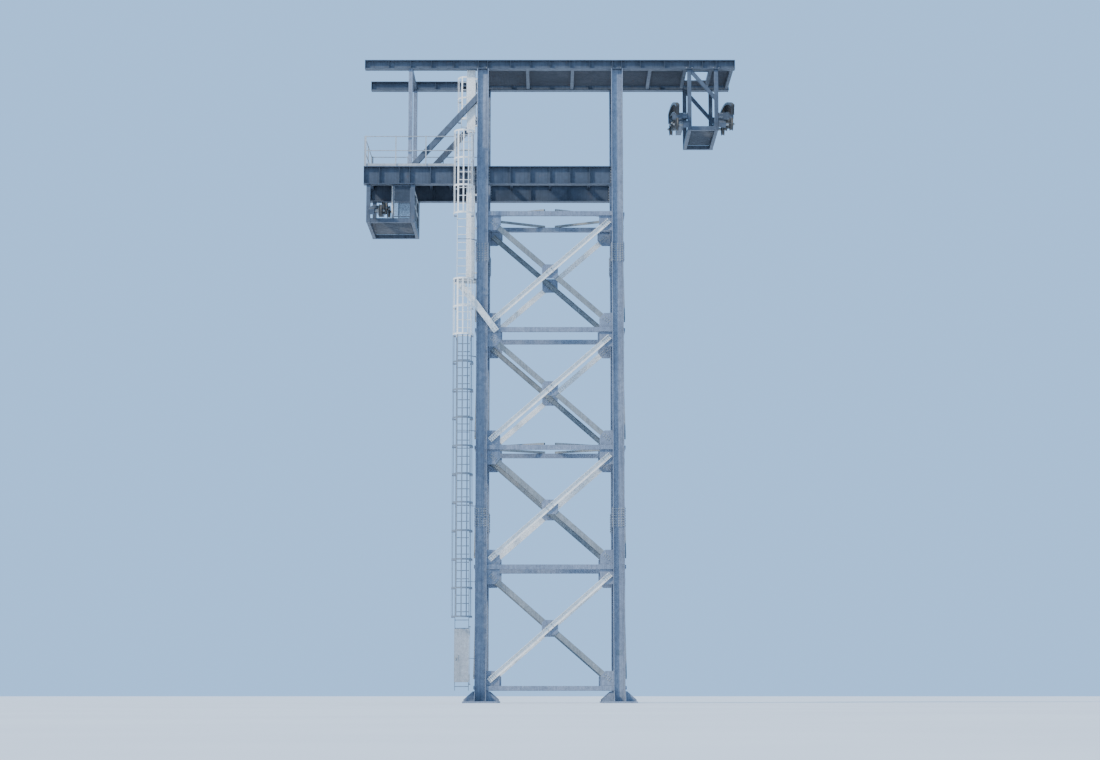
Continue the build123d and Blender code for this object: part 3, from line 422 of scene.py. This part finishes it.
# ---- bolts of the lattice -----------------------------------------------------------------------------
# columns: name, point on the plane, across, outward normal, inner edge, leg axis, strut below, strut above, plate thickness,
#          channel height, web
FACES = [("front", Vector((0, -LEG_Y, 0)), X, -Y, LEG_IN, LEG_X, 0.080, 0.080, 0.020, 0.180, 0.009),
         ("rear", Vector((0, LEG_Y, 0)), X, Y, LEG_IN, LEG_X, 0.080, 0.080, 0.020, 0.180, 0.009),
         ("left", Vector((-LEG_OUT + LEG_TF / 2, 0, 0)), Y, -X, TIP_IN, LEG_Y, 0.040, 0.080, 0.016, 0.140, 0.008),
         ("right", Vector((LEG_OUT - LEG_TF / 2, 0, 0)), Y, X, TIP_IN, LEG_Y, 0.040, 0.080, 0.016, 0.140, 0.008)]
for name, base, U, N, u_in, u_ax, below, above, gt, ch, cw in FACES:
    g = Bag()
    a = math.atan2(BAY_H, 2 * u_ax)
    c, s = math.cos(a), math.sin(a)
    length = math.hypot(BAY_H, 2 * u_ax)
    t0 = max((u_ax - u_in + 0.028 + ch / 2 * s) / c, (above + 0.028 + ch / 2 * c) / s)
    off = ch * 0.24
    for k in range(BAYS):
        for rise in (1, -1):
            d = U * (rise * c) + Z * s
            n = U * (-rise * s) + Z * c
            p0 = base + U * (-rise * u_ax) + Z * NODES[k]
            face = N * (rise * (gt / 2 + cw))
            back = N * (-rise * gt / 2)
            at = [t0 + 0.05 + 0.075 * i for i in range(4)]
            at += [length - v for v in at] + [length / 2 + v for v in (-0.105, 0.105)]
            for t in at:
                for w in (-off, off):
                    p = p0 + d * t + n * w
                    g.bolt(p + face, N * rise, 0.022)
                    g.nut(p + back, N * -rise, 0.022)
    g.make(f"{name}_face_bolts", BOLT, slot="pin_steel")

# splice bolts
g = Bag()
for sx in (-1, 1):
    for sy in (-1, 1):
        cx, cy = sx * LEG_X, sy * LEG_Y
        for z in SPLICE_Z:
            for zz in [z + v for v in (-0.29, -0.21, -0.13, -0.05, 0.05, 0.13, 0.21, 0.29)]:
                for s in (-1, 1):
                    for w in (-0.095, 0.095):
                        p = Vector((cx + s * (LEG_H / 2 + 0.016), cy + w, zz))
                        g.bolt(p, X * s, 0.024)
                        g.nut(p - X * s * (0.016 + LEG_TF), X * -s, 0.024)
                for w in (-0.1, 0.0, 0.1):
                    for s in (-1, 1):
                        (g.bolt if s == sy else g.nut)(Vector((cx + w, cy + s * (LEG_TW / 2 + 0.012), zz)), Y * s, 0.024)
g.make("splice_bolts", BOLT, slot="pin_steel")

# ---- saddles: ribs and groove liners ------------------------------------------------------------------
def arc(phi, r, x=0.0, dz=0.0):
    a = math.radians(phi)
    return Vector((x, YC + r * math.sin(a), ZC + dz + r * math.cos(a)))


PHI0 = -21.0
END_Y = -(YC + (SADDLE_R + 0.012) * math.sin(math.radians(PHI0)))
PHI1 = math.degrees(math.asin((END_Y - YC) / (SADDLE_R - 0.350)))
for nm, x in (("inner", SADDLE_X[0]), ("outer", SADDLE_X[1])):
    g = Bag()
    n = 19
    for i in range(n + 1):
        phi = PHI0 + 0.10 + (PHI1 - PHI0 - 0.20) * i / n
        for s in (-1, 1):
            p, q = arc(phi, SADDLE_R - 0.330, x + s * 0.033), arc(phi, SADDLE_R - 0.070, x + s * 0.033)
            t = arc(phi + 1, 1.0) - arc(phi, 1.0)
            g.bar(p, q, 0.048, 0.010, t.normalized())
    g.make(f"saddle_{nm}_ribs", SADDLE, slot="saddle_steel", bevel=0.001)
    # lining blocks in the groove, one beside the other
    g = Bag()
    n = 44
    for i in range(n):
        a0 = PHI0 + (PHI1 - PHI0) * (i + 0.04) / n
        a1 = PHI0 + (PHI1 - PHI0) * (i + 0.96) / n
        pts = []
        for j in range(9):
            w = math.radians(200 + 140 * j / 8)
            pts.append((0.0262 * math.cos(w), 0.012 + 0.0262 * math.sin(w)))
        inner = [(0.0215 * math.cos(math.radians(200 + 140 * j / 8)), 0.012 + 0.0215 * math.sin(math.radians(200 + 140 * j / 8))) for j in range(8, -1, -1)]
        ring = pts + inner
        m = len(ring)
        vs = [arc(a0, SADDLE_R + o, x + u) for u, o in ring] + [arc(a1, SADDLE_R + o, x + u) for u, o in ring]
        g.add(vs, [tuple(range(m - 1, -1, -1)), tuple(range(m, 2 * m))] + [(k, (k + 1) % m, m + (k + 1) % m, m + k) for k in range(m)])
    g.make(f"saddle_{nm}_liners", LINER, slot="pin_steel")

# clamps of the saddle feet on the brackets
g = Bag()
for sx0, sx1, xs in ((POST_IN - 0.600, POST_IN - 0.070, SADDLE_X[0]), (POST_OUT + 0.070, POST_OUT + 0.600, SADDLE_X[1])):
    for sy in (-1, 1):
        phi = math.degrees(math.asin((sy * LEG_Y - YC) / (SADDLE_R - 0.350)))
        up = (arc(phi, 2.0) - arc(phi, 1.0)).normalized()
        for dx in (-0.045, 0.045):
            for dt in (-0.035, 0.035):
                p = arc(phi + math.degrees(dt / SADDLE_R), SADDLE_R - 0.330, xs + dx)
                g.bolt(p, up, 0.018)
        # end plate of the bracket on the post
        xp, s = (sx1, -1) if sx1 < POST_IN else (sx0, 1)
        zt = arc(phi, SADDLE_R - 0.350).z
        for dz in (-0.175, -0.045):
            for dy in (-0.035, 0.035):
                g.bolt(Vector((xp + s * 0.09, sy * LEG_Y + math.copysign(0.060, sy), zt + dz)) + Vector((dy, 0, 0)), Y * sy, 0.018)
g.make("saddle_bolts", BOLT, slot="pin_steel")

# ---- rollers: ribs, hub bolts, linings and axle ends ---------------------------------------------------
LINES = [("right_inner", SADDLE_X[0], 1, 0.0), ("right_outer", SADDLE_X[1], -1, 0.0), ("left", -5.900, -1, -LEFT_DROP)]
RR = SADDLE_R - 0.720
ax = Bag()
for line, x, sb, dz in LINES:
    for i, phi in enumerate((-18.985, -14.172, -9.420, -4.771)):
        c = arc(phi, RR, x, dz)
        g = Bag()
        for s in (-1, 1):
            for k in range(6):
                a = math.radians(60 * k + 15 * i)
                d = Vector((0, math.cos(a), math.sin(a)))
                g.bar(c + X * s * 0.026 + d * 0.052, c + X * s * 0.026 + d * 0.169, 0.028, 0.010, X.cross(d))
                d2 = Vector((0, math.cos(a + math.pi / 6), math.sin(a + math.pi / 6)))
                g.bolt(c + X * s * 0.0118 + d2 * 0.105, X * s, 0.016)
        g.make(f"roller_{line}_{i + 1}_ribs", ROLLER, f"roller_{line}_{i + 1}_body", "roller_steel", bevel=0.0015)
        g = Bag()
        g.revolve([(0.2000, -0.0078), (0.2065, -0.0162), (0.2150, -0.0268), (0.2162, -0.0256), (0.2085, -0.0150), (0.2045, -0.0070), (0.2045, 0.0070), (0.2085, 0.0150),
                   (0.2162, 0.0256), (0.2150, 0.0268), (0.2065, 0.0162), (0.2000, 0.0078)], c, 56)
        g.make(f"roller_{line}_{i + 1}_lining", LINER, f"roller_{line}_{i + 1}_body", "pin_steel", smooth=40)
        # axle: castle nut and grease nipple on the free end
        far = c - X * sb * 0.096
        ax.rod(far, far - X * sb * 0.022, 0.030, 6)
        ax.rod(far - X * sb * 0.022, far - X * sb * 0.034, 0.018, 16)
        ax.rod(far - X * sb * 0.034, far - X * sb * 0.046, 0.006, 8)
ax.make("axle_nuts", BOLT, slot="pin_steel")

# end plates of the roller beams
g = Bag()
for line, x, sb, dz in LINES:
    xa, xb = sorted((x + sb * 0.210, x + sb * 0.410))
    for phi, e in ((-20.3, -1), (-2.2, 1)):
        t = (arc(phi + 0.01, 1.0) - arc(phi, 1.0)).normalized() * e
        p, q = arc(phi, RR - 0.088, (xa + xb) / 2, dz), arc(phi, RR + 0.088, (xa + xb) / 2, dz)
        g.bar(p - t * 0.004, q - t * 0.004, 0.196, 0.008, t)
g.make("roller_beam_ends", HEAD, slot="gantry_steel", bevel=0.001)

# ---- guard screens of the left hanging frame, beside the roller line -----------------------------------
g, b = Bag(), Bag()
SX0, SX1, SZ0, SZ1 = -5.520, -LEFT_IN - 0.071, L_DECK + 0.012, ARM_BOT - 0.012
for sy in (-1, 1):
    y = sy * LEG_Y
    for x0, x1, z0, z1 in ((SX0, SX0 + 0.040, SZ0, SZ1), (SX1 - 0.040, SX1, SZ0, SZ1), (SX0 + 0.040, SX1 - 0.040, SZ0, SZ0 + 0.040), (SX0 + 0.040, SX1 - 0.040, SZ1 - 0.040, SZ1)):
        g.box(x0, x1, y - 0.012, y + 0.012, z0, z1)
    n = 22
    for i in range(1, n):
        c = SX0 + 0.040 + (SX1 - SX0 - 0.080) * i / n
        g.box(c - 0.0035, c + 0.0035, y - 0.0035, y, SZ0 + 0.038, SZ1 - 0.038)
    n = 44
    for i in range(1, n):
        c = SZ0 + 0.040 + (SZ1 - SZ0 - 0.080) * i / n
        g.box(SX0 + 0.038, SX1 - 0.038, y, y + 0.0035, c - 0.0035, c + 0.0035)
    for z in (SZ0 + 0.12, (SZ0 + SZ1) / 2, SZ1 - 0.12):
        b.bolt(Vector((SX1 - 0.020, y - 0.012, z)), -Y, 0.012)
    # feet on the deck beam and lugs under the crossarm flange
    for x in (SX0 + 0.020, SX1 - 0.020):
        g.box(x - 0.018, x + 0.018, y - 0.030, y + 0.030, L_FRAME_BOT + 0.140, SZ0)
        g.box(x - 0.018, x + 0.018, y - 0.030, y + 0.030, SZ1, ARM_BOT)
g.make("guard_screens", HEAD, slot="gantry_steel")
b.make("guard_screen_bolts", BOLT, slot="pin_steel")

# ---- railing and ladder fixings ------------------------------------------------------------------------
g = Bag()
for y, x0, x1, n in ((-1.512, -6.500, -3.290, 3), (1.512, -6.500, -2.600, 3)):
    for i in range(n + 1):
        x = x0 + 0.020 + (x1 - x0 - 0.040) * i / n
        for dx in (-0.032, 0.032):
            g.bolt(Vector((x + dx, y, ARM_TOP + 0.0)), Z, 0.010)
for z in [1.5 + 2.6 * i for i in range(5)] + [LANDING_Z + 1.4]:
    for x in (-3.215, -2.785):
        g.bolt(Vector((x, LADDER_Y + 0.062, z + 0.016)), Z, 0.012)
        g.nut(Vector((x, LADDER_Y + 0.062, z)), -Z, 0.012)
for ry, z0, z1, n in CAGES:
    for i in range(n):
        z = z0 + (z1 - z0) * i / (n - 1)
        for s in (-1, 1):
            for dx in (0.262, 0.325):
                g.bolt(Vector((LADDER_X + s * dx, ry - 0.010, z)), -Y, 0.010)
        for k in range(7):
            a = math.radians(-180 + 30 * k)
            d = Vector((math.cos(a), math.sin(a), 0))
            g.bolt(Vector((LADDER_X, ry - 0.380, z)) + d * 0.346, -d, 0.008)
g.make("ladder_bolts", BOLT, slot="pin_steel")
# fishplates where the two sections of the long ladder meet
g, b = Bag(), Bag()
for s in (-1, 1):
    g.box(LADDER_X + s * 0.2451, LADDER_X + s * 0.2511, LADDER_Y + 0.003, LADDER_Y + 0.031, LADDER_JOINT_Z - 0.140, LADDER_JOINT_Z + 0.140)
    for dz in (-0.110, -0.040, 0.040, 0.110):
        b.bolt(Vector((LADDER_X + s * 0.2511, LADDER_Y + 0.017, LADDER_JOINT_Z + dz)), X * s, 0.010)
g.make("ladder_fishplates", RAIL, slot="rail_steel", bevel=0.001)
b.make("fishplate_bolts", BOLT, slot="pin_steel")

# ---- end plugs of the hollow side struts, just inside the tubes -----------------------------------------
g = Bag()
for z in NODES:
    for sx in (-1, 1):
        for sy in (-1, 1):
            x = sx * (LEG_OUT - LEG_TF / 2)
            g.box(x - 0.0515, x + 0.0515, sy * (TIP_IN - 0.001), sy * (TIP_IN - 0.005), z - 0.0315, z + 0.0715)
g.make("strut_plugs", TOWER, slot="tower_steel")

# ---- foot of the long landing knee: packer on the strut, end cap, bolts ---------------------------------
g, b = Bag(), Bag()
kn = Vector((1.380, 0.0, -1.850)).normalized()
ka = Vector((-kn.z, 0.0, kn.x))
ke = Vector((-1.960, -1.565, LANDING_Z - 1.890)) + ka * 0.110
g.box(-2.000, -1.885, -1.5348, -LEG_Y - 0.0802, NODES[3] - 0.072, NODES[3] + 0.072)
g.bar(ke + kn * 0.0002, ke + kn * 0.0062, 0.060, 0.220, ka)
kc = ke - kn * 0.086
for da in (-0.050, 0.050):
    for dk in (-0.045, 0.035):
        v = kc + ka * da + kn * dk
        b.bolt(Vector((v.x, -1.595, v.z)), -Y, 0.020)
g.make("knee_packer", ZINC, slot="bright_galvanised", bevel=0.001)
b.make("knee_bolts", BOLT, slot="pin_steel")

# ---- the cable duct: cover joints and screws -----------------------------------------------------------
g, b = Bag(), Bag()
for z0, z1, n in ((LANDING_Z, ARM_BOT, 4), (19.950, GANTRY_BOT, 3)):
    for i in range(n):
        a, c = z0 + 0.006 + (z1 - z0 - 0.012) * i / n, z0 + 0.006 + (z1 - z0 - 0.012) * (i + 1) / n
        g.box(-2.938, -2.642, -1.3066, -1.3050, a + 0.003, c - 0.003)
        for z in (a + 0.06, (a + c) / 2, c - 0.06):
            for x in (-2.925, -2.655):
                b.bolt(Vector((x, -1.3066, z)), -Y, 0.007)
g.make("duct_covers", ZINC, slot="bright_galvanised", bevel=0.0006)
b.make("duct_screws", BOLT, slot="pin_steel")

# ---- the guard door: pressed beads, hasp, padlock, grab handle -----------------------------------------
DX, DY = LADDER_X + 0.235 + 0.040, LADDER_Y - 0.062
g = Bag()
for z in (0.95, 1.30, 1.65, 2.00, 2.25):
    g.bar(Vector((-3.215, DY - 0.0055, z)), Vector((-2.790, DY - 0.0055, z)), 0.006, 0.045, Z)
for x in (-3.250, -2.757):
    g.box(x - 0.005, x + 0.005, DY - 0.0059, DY + 0.015, 0.702, 2.498)
for z in (0.707, 2.493):
    g.box(-3.250, -2.757, DY - 0.0059, DY + 0.015, z - 0.006, z + 0.006)
g.make("guard_door_beads", DOOR, "guard_door_body", "door_sheet", bevel=0.0015)
g = Bag()
g.box(-3.252, -3.160, DY - 0.0105, DY - 0.0062, 1.505, 1.545)
g.rod(Vector((-3.205, DY - 0.010, 1.525)), Vector((-3.205, DY - 0.026, 1.525)), 0.010, 12)
g.box(-3.230, -3.182, DY - 0.034, DY - 0.014, 1.455, 1.502)
for a0 in range(0, 180, 15):
    a, b = math.radians(a0), math.radians(a0 + 15)
    g.rod(Vector((-3.206 + 0.015 * math.cos(a), DY - 0.024, 1.502 + 0.015 * math.sin(a) * 1.6)),
          Vector((-3.206 + 0.015 * math.cos(b), DY - 0.024, 1.502 + 0.015 * math.sin(b) * 1.6)), 0.0042, 8)
g.rod(Vector((-3.120, DY - 0.030, 1.400)), Vector((-3.120, DY - 0.030, 1.620)), 0.008, 12)
for z in (1.405, 1.615):
    g.rod(Vector((-3.120, DY - 0.005, z)), Vector((-3.120, DY - 0.036, z)), 0.008, 12)
for z in (0.78, 0.94, 2.26, 2.42):
    for x in (-2.80, -2.84):
        g.bolt(Vector((x, DY - 0.0058, z)), -Y, 0.010)
g.make("guard_door_fittings", BOLT, "guard_door_body", "pin_steel", smooth=35)

# ---- blank plate and earthing straps ------------------------------------------------------------------
g = Bag()
g.box(LEG_X - 0.110, LEG_X + 0.110, -LEG_Y - LEG_TW / 2 - 0.004, -LEG_Y - LEG_TW / 2, 1.62, 1.80)
g.make("blank_plate", ZINC, slot="bright_galvanised", bevel=0.001)
g = Bag()
for dx in (-0.095, 0.095):
    for z in (1.635, 1.785):
        g.bolt(Vector((LEG_X + dx, -LEG_Y - LEG_TW / 2 - 0.004, z)), -Y, 0.008)
for sx in (-1, 1):
    for sy in (-1, 1):
        x, y = sx * (LEG_OUT + 0.002), sy * (LEG_Y + 0.060)
        g.bar(Vector((x, y, 0.40)), Vector((x, y, 0.95)), 0.030, 0.004, X)
        for z in (0.46, 0.90):
            g.bolt(Vector((sx * (LEG_OUT + 0.004), y, z)), X * sx, 0.010)
g.make("earth_straps", ZINC, slot="bright_galvanised")

# ---- softened edges on the carried-over sections ------------------------------------------------------
for name, w in (("leg_front_left", 0.004), ("leg_front_right", 0.004), ("leg_rear_left", 0.004), ("leg_rear_right", 0.004), ("gantry_beams", 0.004),
                ("crossarm_beams", 0.005), ("face_struts", 0.008), ("side_struts", 0.006), ("gusset_plates", 0.002), ("hanger_posts", 0.008),
                ("hanger_beams", 0.007), ("arm_posts", 0.008), ("arm_braces", 0.008), ("leg_splices", 0.002), ("rising_braces", 0.003),
                ("falling_braces", 0.003), ("side_braces", 0.003), ("gantry_cross_members", 0.006), ("crossarm_joists", 0.006),
                ("foot_plates", 0.003), ("saddle_brackets", 0.004), ("roller_beams", 0.006), ("saddle_inner", 0.003), ("saddle_outer", 0.003)):
    o = nodes[name]
    m = o.modifiers.new("weld", "WELD")
    m.merge_threshold = 0.00005
    m = o.modifiers.new("bevel", "BEVEL")
    m.width, m.segments, m.limit_method, m.angle_limit, m.use_clamp_overlap = w, 1 if name == "gantry_beams" else 2, "ANGLE", math.radians(50), True
    m.harden_normals = False

# ---- floor, light, camera -----------------------------------------------------------------------------
fm = Mat("studio_floor")
fm.link(fm.mix(fm.ramp(fm.noise(0.15, 3), [(0.4, 0.0), (0.6, 1.0)]), (0.72, 0.73, 0.74), (0.76, 0.77, 0.775)), fm.b.inputs["Base Color"])
fm.b.inputs["Roughness"].default_value = 0.9
me = bpy.data.meshes.new("floor")
R = 900.0
me.from_pydata([(R * math.cos(2 * math.pi * i / 64), R * math.sin(2 * math.pi * i / 64), 0.0) for i in range(64)], [], [tuple(range(64))])
floor = bpy.data.objects.new("floor", me)
floor.data.materials.append(fm.m)
bpy.context.scene.collection.objects.link(floor)

world = bpy.data.worlds.new("studio")
bpy.context.scene.world = world
world.use_nodes = True
bg = world.node_tree.nodes["Background"]
bg.inputs[0].default_value = (0.31, 0.56, 0.94, 1)
bg.inputs[1].default_value = 1.45


def sun(name, direction, energy, angle, colour):
    d = bpy.data.lights.new(name, "SUN")
    d.energy, d.angle, d.color = energy, math.radians(angle), colour
    o = bpy.data.objects.new(name, d)
    o.rotation_mode = "QUATERNION"
    o.rotation_quaternion = Vector(direction).to_track_quat("-Z", "Y")
    bpy.context.scene.collection.objects.link(o)


sun("key", (0.62, 0.50, -0.60), 4.6, 7, (1.0, 0.94, 0.85))
sun("fill", (-0.7, 0.6, -0.25), 0.35, 40, (0.85, 0.92, 1.0))

cam = bpy.data.cameras.new("camera")
cam_o = bpy.data.objects.new("camera", cam)
bpy.context.scene.collection.objects.link(cam_o)
cam.sensor_width = 36.0
cam.lens = 72.0
cam.clip_start, cam.clip_end = 1.0, 3000.0
cam_o.location = (0.0, -77.0, 0.25)
cam_o.rotation_mode = "QUATERNION"
cam_o.rotation_quaternion = (Vector((0.0, 0.0, 11.3)) - Vector(cam_o.location)).to_track_quat("-Z", "Y")
bpy.context.scene.camera = cam_o

bpy.context.view_layer.update()
